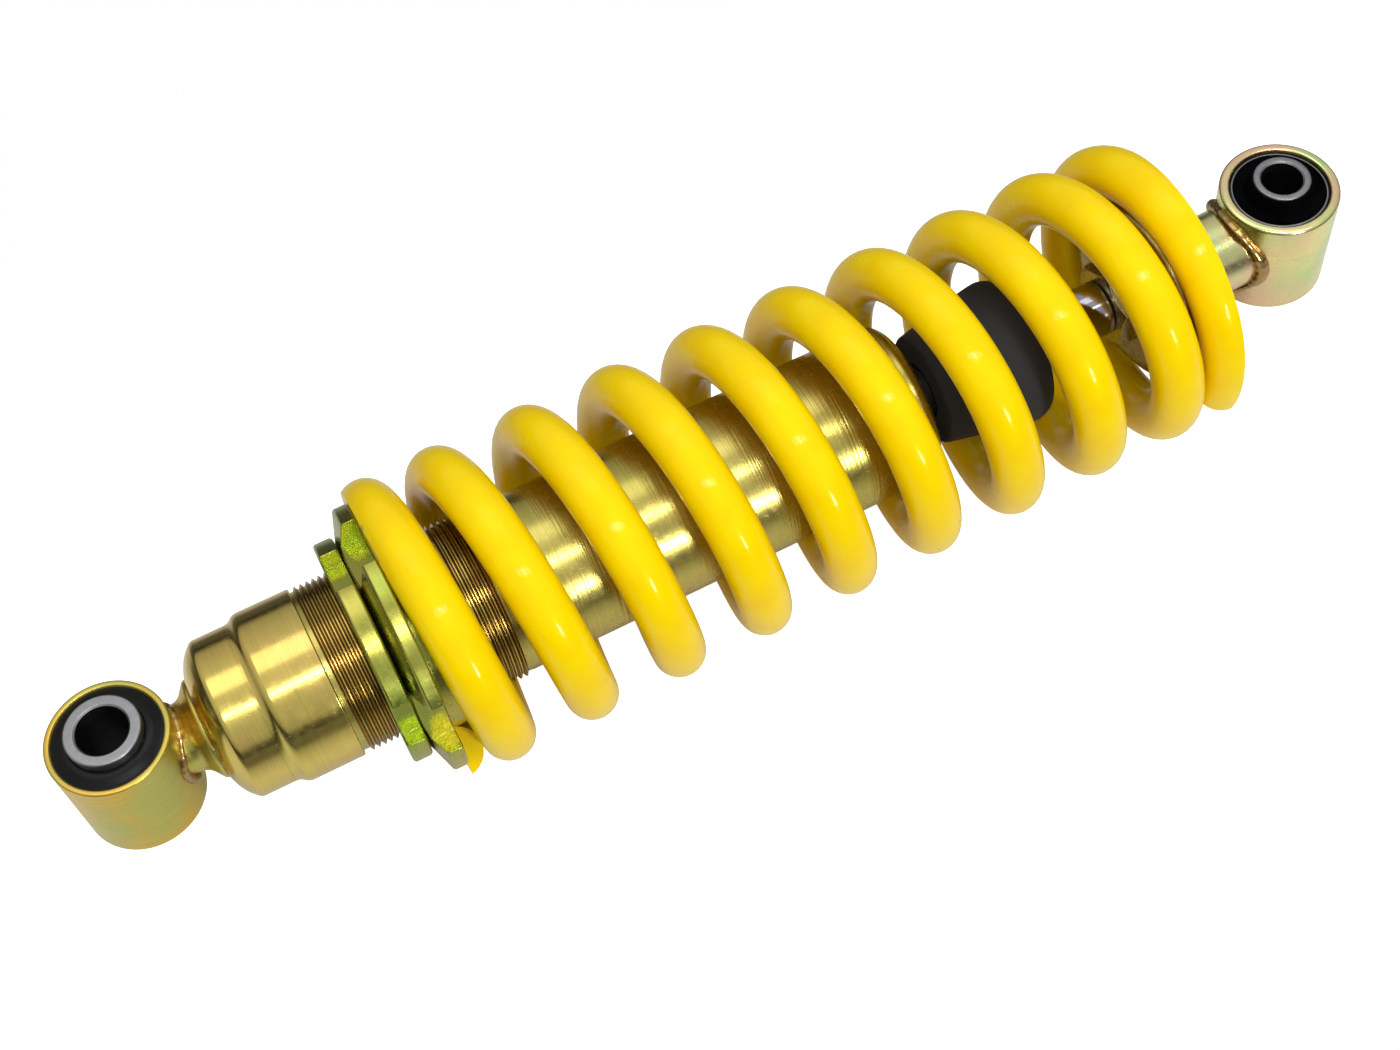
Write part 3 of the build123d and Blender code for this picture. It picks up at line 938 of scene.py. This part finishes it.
class CoiloverDamperBody(bpy.types.Operator):
    """Models the base cap, the stepped collar, the thread and the tube"""

    bl_idname = "coilover.damper_body"
    bl_label = "Make Damper Body"

    def execute(self, context):
        cap_start, cap_end = reach("base_cap")
        tube_start, tube_end = reach("damper_tube")
        collar_r = reach("damper_tube", 1)[1]
        cap_r = 19.6
        tube_bore_r = 18.0
        plug_r, plug_bore_r, step_r, hole_r = 17.95, 16.4, 15.0, 7.1
        cap = turned(
            [
                (cap_start, hole_r, 0),
                (cap_start, 12.8, 0.3),
                (cap_start + 0.9, 15.2, 1.2),
                (cap_start + 2.3, 17.5, 1.2),
                (cap_start + 4.5, cap_r, 0.7),
                (tube_start, cap_r, 0),
                (tube_start, plug_r, 0),
                (cap_end, plug_r, 0),
                (cap_end, plug_bore_r, 0),
                (cap_end - 4.0, plug_bore_r, 0),
                (cap_end - 4.0, step_r, 0),
                (cap_start + 6.9, step_r, 0),
                (cap_start + 3.9, 11.0, 0),
                (cap_start + 3.9, hole_r, 0),
            ]
        )
        finish_piece(cap, "tube_base_cap", "damper_body", "body_zinc", ["base_cap"])

        thread = context.scene.coilover_thread
        pitch, crest, root = thread.pitch / MM, thread.crest_radius / MM, thread.root_radius / MM
        collar_end = tube_start + 16.5
        thread_start = collar_end + 0.5
        thread_end = thread_start + thread.turns * pitch
        collar = turned(
            [
                (tube_start, tube_bore_r, 0),
                (tube_start, cap_r, 0.1),
                (tube_start + 0.9, cap_r + 0.05, 0.8),
                (tube_start + 2.6, collar_r, 0.9),
                (collar_end, collar_r, 0.5),
                (collar_end, tube_bore_r, 0),
            ]
        )
        finish_piece(collar, "tube_collar", "damper_body", "body_zinc", ["damper_tube"])

        tube_r = 20.15
        mouth_r = 15.5
        lip_start = tube_end - 1.9
        barrel = turned(
            [
                (collar_end, tube_bore_r, 0),
                (collar_end, root, 0),
                (thread_end + 0.2, root, 0.1),
                (thread_end + 0.8, tube_r, 0.2),
                (tube_end - 1.6, tube_r, 1.4),
                (tube_end, 18.0, 0.5),
                (tube_end, mouth_r, 0.3),
                (lip_start, mouth_r, 0.2),
                (lip_start, tube_bore_r, 0.2),
            ]
        )
        finish_piece(barrel, "tube_barrel", "damper_body", "tube_zinc", ["damper_tube"])

        steps_per_turn = 64
        ridge = bmesh.new()
        first = thread_start + pitch / 2
        profile = (  # one ridge, as (place in pitches, radius)
            (-0.48, root - 0.2),
            (-0.42, root + 0.02),
            (-0.07, crest),
            (0.07, crest),
            (0.42, root + 0.02),
            (0.48, root - 0.2),
        )
        corners = [
            ridge.verts.new(((first + along * pitch) * MM, radius * MM, 0.0)) for along, radius in profile
        ]
        for corner, following in zip(corners, corners[1:] + corners[:1]):
            ridge.edges.new((corner, following))
        bmesh.ops.spin(
            ridge,
            geom=ridge.verts[:] + ridge.edges[:],
            cent=(0.0, 0.0, 0.0),
            axis=(1.0, 0.0, 0.0),
            dvec=(pitch * MM / steps_per_turn, 0.0, 0.0),
            angle=2 * pi * (thread.turns - 1),
            steps=(thread.turns - 1) * steps_per_turn,
            use_merge=False,
        )
        bmesh.ops.holes_fill(ridge, edges=ridge.edges[:], sides=0)
        finish_piece(
            ridge, "tube_thread", "damper_body", "thread_zinc", ["damper_tube"], sharp=30.0
        )
        return {"FINISHED"}


def notched(ring, start, end, floor_r, outer_r, width, first_angle):
    """Cuts four spanner notches into a ring, from start to end and down to floor_r."""
    depth = outer_r - floor_r + 1.0
    length = end - start + 2.0
    tool = bmesh.new()
    for quarter in range(4):
        turn = Matrix.Rotation(radians(first_angle) + quarter * pi / 2, 4, "X")
        place = Matrix.Translation(((start + end) / 2 * MM, (floor_r + depth / 2) * MM, 0.0))
        size = Matrix.Diagonal((length * MM, depth * MM, width * MM, 1.0))
        bmesh.ops.create_cube(tool, size=1.0, matrix=turn @ place @ size)
    return carved(ring, tool)


class CoiloverSeat(bpy.types.Operator):
    """Models the adjuster ring that carries the spring and the lock ring behind it"""

    bl_idname = "coilover.seat"
    bl_label = "Make Spring Seat"

    def execute(self, context):
        bore_r = 20.96
        broken = 0.5
        lock_start, lock_end = reach("lock_ring")
        lock_r = reach("lock_ring", 1)[1]
        lock = turned(
            [
                (lock_start, bore_r + broken, 0),
                (lock_start, lock_r - broken, 0),
                (lock_start + broken, lock_r, 0),
                (lock_end - broken, lock_r, 0),
                (lock_end, lock_r - broken, 0),
                (lock_end, bore_r, 0),
                (lock_start + broken, bore_r, 0),
            ]
        )
        lock = notched(lock, lock_start, lock_end, floor_r=22.7, outer_r=lock_r, width=12.6, first_angle=75.0)
        finish_piece(lock, "seat_lock_ring", "jam_ring", "ring_zinc", ["lock_ring"], edge=0.35)

        start, spigot_end = reach("adjuster_ring")
        outer_r = reach("adjuster_ring", 1)[1]
        seat = reach("spring")[0]
        adjuster = turned(
            [
                (start, bore_r, 0),
                (start, 26.0, 0),
                (start + 2.4, outer_r - 0.4, 0),
                (start + 2.9, outer_r, 0),
                (seat - 0.4, outer_r, 0),
                (seat, outer_r - 0.4, 0),
                (seat, SPIGOT_R, 0),
                (spigot_end - 1.0, SPIGOT_R, 0),
                (spigot_end, SPIGOT_R - 1.0, 0),
                (spigot_end, bore_r, 0),
            ]
        )
        adjuster = notched(
            adjuster, start - 1, seat - 0.5, floor_r=26.4, outer_r=outer_r, width=15.0, first_angle=76.5
        )
        finish_piece(
            adjuster,
            "seat_adjuster_ring",
            "seat_ring",
            "ring_zinc",
            ["adjuster_ring"],
            edge=0.35,
        )
        return {"FINISHED"}


class CoiloverRetainer(bpy.types.Operator):
    """Models the spring's far retainer"""

    bl_idname = "coilover.retainer"
    bl_label = "Make Retainer"

    def execute(self, context):
        crown_start, brim_end = reach("spring_retainer")
        seat = reach("spring")[1]
        hole_r, brim_r = 8.6, 29.5
        retainer = turned(
            [
                (crown_start, hole_r, 0),
                (crown_start, 19.2, 1.5),
                (crown_start + 3.0, 23.7, 1.5),
                (crown_start + 5.2, SPIGOT_R, 0.6),
                (seat, SPIGOT_R, 0.4),
                (seat, brim_r, 0.5),
                (brim_end, brim_r, 0.5),
                (brim_end, 21.0, 1.0),
                (seat - 3.5, 20.4, 1.2),
                (crown_start + 3.5, 17.0, 0.6),
                (crown_start + 3.5, hole_r, 0),
            ]
        )
        finish_piece(
            retainer, "spring_far_retainer", "retainer", "seat_zinc", ["spring_retainer"]
        )
        return {"FINISHED"}


class CoiloverRod(bpy.types.Operator):
    """Models the piston rod, its lock nut and the bump stop"""

    bl_idname = "coilover.rod"
    bl_label = "Make Rod and Bump Stop"

    def execute(self, context):
        rod_start, rod_end = reach("piston_rod")
        nut_start, nut_end = reach("lock_nut")
        rod_r = reach("piston_rod", 1)[1]
        shoulder = reach("check_stop_washer")[1]
        tenon_r, thread_r = 5.0, 5.95
        rod = turned(
            [
                (rod_start, 0, 0),
                (rod_start, tenon_r, 0.5),
                (shoulder, tenon_r, 0),
                (shoulder, rod_r, 0.2),
                (nut_start, rod_r, 0.6),
                (nut_start, thread_r, 0),
                (rod_end, thread_r, 0.8),
                (rod_end, 0, 0),
            ]
        )
        finish_piece(rod, "chromed_rod", "rod", "rod_chrome", ["piston_rod"])

        across_flats = 19.0
        corner_r = across_flats / sqrt(3)
        nut = bmesh.new()
        middle = Matrix.Translation(((nut_start + nut_end) / 2 * MM, 0.0, 0.0))
        bmesh.ops.create_cone(
            nut,
            cap_ends=True,
            segments=6,
            radius1=corner_r * MM,
            radius2=corner_r * MM,
            depth=(nut_end - nut_start) * MM,
            matrix=middle @ Matrix.Rotation(pi / 2, 4, "Y") @ Matrix.Rotation(pi / 6, 4, "Z"),
        )
        bore_r, face_r = 6.0, 9.4
        rounded = turned(
            [
                (nut_start - 0.01, bore_r, 0),
                (nut_start - 0.01, face_r, 0),
                (nut_start + 0.9, corner_r + 0.05, 0),
                (nut_end - 0.9, corner_r + 0.05, 0),
                (nut_end + 0.01, face_r, 0),
                (nut_end + 0.01, bore_r, 0),
            ]
        )
        nut = carved(nut, rounded, "INTERSECT")
        finish_piece(nut, "rod_lock_nut", "rod", "nut_zinc", ["lock_nut"], edge=0.2)

        start, end = reach("bump_stop")
        hole_r, cup_r = 7.1, 12.6
        bump = turned(
            [
                (start, hole_r, 0.3),
                (start, 14.0, 0.9),
                (end - 6.5, 18.4, 2.0),
                (end - 3.2, 18.7, 1.6),
                (end - 0.5, 17.2, 1.0),
                (end, 15.8, 0.4),
                (end, cup_r, 0.6),
                (end - 9.2, cup_r, 0.6),
                (end - 10.2, hole_r, 0),
            ]
        )
        stop = finish_piece(bump, "foam_bump_stop", "bump_stop", "bump_foam", ["bump_stop"])
        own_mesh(stop)
        return {"FINISHED"}


class CoiloverRodEye(bpy.types.Operator):
    """Models the eye at the rod's end, its bonded bush and sleeve, and the welded stem"""

    bl_idname = "coilover.rod_eye"
    bl_label = "Make Rod Eye"

    def execute(self, context):
        low, high = reach("rod_eye")
        centre = (low + high) / 2
        eye_r = (high - low) / 2
        half = reach("rod_eye", 2)[1]
        eye = crosswise([(0.4 - half, 12.3, 0), (-half, 12.6, 0.3), (-half, eye_r, 1.0)], centre)
        finish_piece(eye, "rod_eye_tube", "rod", "rod_eye_zinc", ["rod_eye"])
        can_half = reach("rod_eye_bush_shell", 2)[1]
        can_bore_r = 11.4
        can = crosswise(
            [(-can_half, can_bore_r, 0.1), (-can_half, 11.75, 0.1), (0.7 - can_half, 12.29, 0)], centre
        )
        finish_piece(can, "rod_eye_bush_can", "rod", "shell_steel", ["rod_eye_bush_shell"])
        sleeve_start, sleeve_end = reach("rod_eye_sleeve")
        sleeve_r = (sleeve_end - sleeve_start) / 2
        sleeve_half = reach("rod_eye_sleeve", 2)[1]
        rubber = crosswise(
            [
                (0.5 - sleeve_half, sleeve_r + 0.06, 0.1),
                (0.6 - sleeve_half, sleeve_r + 0.5, 0.2),
                (0.9 - can_half, sleeve_r + 1.5, 0.7),
                (1.0 - can_half, 10.0, 0.7),
                (0.2 - can_half, can_bore_r - 0.02, 0),
            ],
            centre,
        )
        finish_piece(rubber, "rod_eye_rubber", "rod", "dished_rubber", ["rod_eye_bush"])
        sleeve = sleeve_shape("rod_eye_sleeve", 5.1, sleeve_r, centre)
        sleeve = finish_piece(
            sleeve, "rod_eye_bolt_sleeve", "rod_sleeve", "sleeve_dull", ["rod_eye_sleeve"]
        )
        sleeve.data.materials.append(bpy.data.materials["bore_scale"])

        stem_start = reach("rod_eye_stem")[0]
        stem_end = centre - eye_r + 1.6
        shoulder = stem_start + 3.7
        stem_r, spigot_r, hole_r = 10.5, 8.5, 6.0
        stem = turned(
            [
                (stem_start, hole_r, 0),
                (stem_start, spigot_r, 0),
                (shoulder, spigot_r, 0),
                (shoulder, stem_r, 0.8),
                (stem_end, stem_r, 0),
                (stem_end, 0, 0),
                (shoulder + 19.0, 0, 0),
                (shoulder + 17.0, hole_r, 0),
            ]
        )
        fit_to_cylinder(stem, centre, eye_r - STEM_SUNK, 1, stem_end - 0.2)
        finish_piece(stem, "rod_eye_socket", "rod", "rod_eye_zinc", ["rod_eye_stem"])

        waves = ((2, 0.12), (5, 0.16), (9, 0.08), (31, 0.02))
        weld = weld_bead(1.75, stem_r + 0.1, eye_r, centre, side=-1, proud=0.2, steps=228, waves=waves)
        finish_piece(weld, "rod_eye_weld_bead", "rod", "weld_zinc", ["rod_eye_weld"])
        return {"FINISHED"}


INSIDE_FINISHES = {
    "inner_cylinder": "turned_steel",
    "foot_valve_body": "sintered_iron",
    "foot_valve_plate": "blued_steel",
    "foot_valve_rivet": "turned_steel",
    "rod_guide": "sintered_iron",
    "guide_bush": "bearing_bronze",
    "guide_o_ring": "seal_rubber",
    "oil_seal": "seal_rubber",
    "seal_cover": "turned_steel",
    "piston": "sintered_iron",
    "piston_band": "bearing_band",
    "piston_check_plate": "blued_steel",
    "check_stop_washer": "turned_steel",
    "compression_shims": "blued_steel",
    "piston_nut": "turned_steel",
    "rebound_stop": "bearing_band",
}


class CoiloverInside(bpy.types.Operator):
    """Gives the valves, piston, guide and seal inside the tube their finishes"""

    bl_idname = "coilover.inside"
    bl_label = "Finish the Inside"

    def execute(self, context):
        for node, finish in INSIDE_FINISHES.items():
            materials = frame["nodes"][node].data.materials
            materials.clear()
            materials.append(bpy.data.materials[finish])
        return {"FINISHED"}


STAGE_CENTRE = Vector((0.15, 0.0, 0.0))


def softbox(name, direction, distance, size, power):
    """An area light that faces the shock's middle from (azimuth, elevation) in degrees.

    Azimuth 0 is on the -Y side, and 90 on +X.
    """
    azimuth, elevation = (radians(angle) for angle in direction)
    toward = Vector((sin(azimuth) * cos(elevation), -cos(azimuth) * cos(elevation), sin(elevation)))
    light = bpy.data.lights.new(name, "AREA")
    light.shape = "RECTANGLE"
    light.size, light.size_y = size
    light.energy = power
    lamp = bpy.data.objects.new(name, light)
    lamp.location = STAGE_CENTRE + distance * toward
    lamp.rotation_euler = toward.to_track_quat("Z", "Y").to_euler()
    bpy.context.scene.collection.objects.link(lamp)


def lay_floor():
    """Lays a wide sheet of paper under the shock."""
    mesh = bmesh.new()
    place = Matrix.Translation((STAGE_CENTRE.x, 0.0, cad_low.z))
    bmesh.ops.create_grid(mesh, x_segments=2, y_segments=2, size=3.0, matrix=place)
    data = bpy.data.meshes.new("floor")
    mesh.to_mesh(data)
    mesh.free()
    floor = bpy.data.objects.new("floor", data)
    bpy.context.scene.collection.objects.link(floor)
    floor_paper("floor_paper")
    data.materials.append(bpy.data.materials["floor_paper"])


def light_world():
    """A studio that is white to the camera, dark low down for the metal, and brighter with height."""
    world = bpy.data.worlds.new("studio")
    world.use_nodes = True
    tree = world.node_tree
    sky = add(tree, "TexCoord").outputs["Generated"]
    height = add(tree, "SeparateXYZ", {0: sky}).outputs["Z"]
    horizon = rescale(tree, height, 0.1, 0.24, 0.01, 0.3, curve="SMOOTHSTEP")
    glow = calc(tree, "MULTIPLY_ADD", height, 0.5, horizon)
    seen = add(tree, "LightPath").outputs["Is Camera Ray"]
    values = {"Color": (1.0, 1.0, 1.0, 1.0), "Strength": calc(tree, "MAXIMUM", glow, seen)}
    fill(tree, tree.nodes["Background"], values)
    bpy.context.scene.world = world


def place_camera(settings):
    """Puts the camera at its place in the settings."""
    data = bpy.data.cameras.new("camera")
    data.sensor_width = 36.0
    data.lens = settings.lens
    data.clip_start = 0.01
    camera = bpy.data.objects.new("camera", data)
    camera.location = settings.place
    camera.rotation_euler = Euler(settings.turn)
    bpy.context.scene.collection.objects.link(camera)
    bpy.context.scene.camera = camera


class CoiloverStage(bpy.types.Operator):
    """Sets the floor, the light and the camera"""

    bl_idname = "coilover.stage"
    bl_label = "Set Stage"

    def execute(self, context):
        lay_floor()
        light_world()
        softbox("key", direction=(5, 63), distance=1.2, size=(1.2, 0.12), power=3.2)
        softbox("top", direction=(180, 75), distance=1.3, size=(1.4, 0.6), power=3.0)
        softbox("spark", direction=(5, 63), distance=1.15, size=(0.1, 0.1), power=1.0)
        softbox("front", direction=(10, 15), distance=1.0, size=(0.12, 0.18), power=3.2)
        context.scene.view_settings.view_transform = "Standard"
        place_camera(context.scene.coilover_camera)
        return {"FINISHED"}


class CoiloverPanel(bpy.types.Panel):
    """Lists the settings and the steps"""

    bl_idname = "VIEW3D_PT_coilover"
    bl_label = "Coilover"
    bl_space_type = "VIEW_3D"
    bl_region_type = "UI"
    bl_category = "Coilover"

    def draw(self, context):
        for group in SETTINGS:
            settings = getattr(context.scene, group)
            box = self.layout.box()
            for name in settings.__annotations__:
                box.prop(settings, name)
        for operator in OPERATORS:
            self.layout.operator(operator.bl_idname)


SETTINGS = {
    "coilover_spring": CoiloverSpringSettings,
    "coilover_thread": CoiloverThreadSettings,
    "coilover_colours": CoiloverColourSettings,
    "coilover_camera": CoiloverCameraSettings,
}
OPERATORS = (
    CoiloverFinishes,
    CoiloverSpring,
    CoiloverBodyEye,
    CoiloverDamperBody,
    CoiloverSeat,
    CoiloverRetainer,
    CoiloverRod,
    CoiloverRodEye,
    CoiloverInside,
    CoiloverStage,
)


def register():
    for made in (*SETTINGS.values(), *OPERATORS, CoiloverPanel):
        bpy.utils.register_class(made)
    for name, group in SETTINGS.items():
        setattr(bpy.types.Scene, name, PointerProperty(type=group))


def unregister():
    for name in SETTINGS:
        delattr(bpy.types.Scene, name)
    for made in reversed((*SETTINGS.values(), *OPERATORS, CoiloverPanel)):
        bpy.utils.unregister_class(made)


def main():
    """Registers the add-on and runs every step."""
    register()
    for operator in OPERATORS:
        family, step = operator.bl_idname.split(".")
        getattr(getattr(bpy.ops, family), step)()


if __name__ == "__main__":
    main()
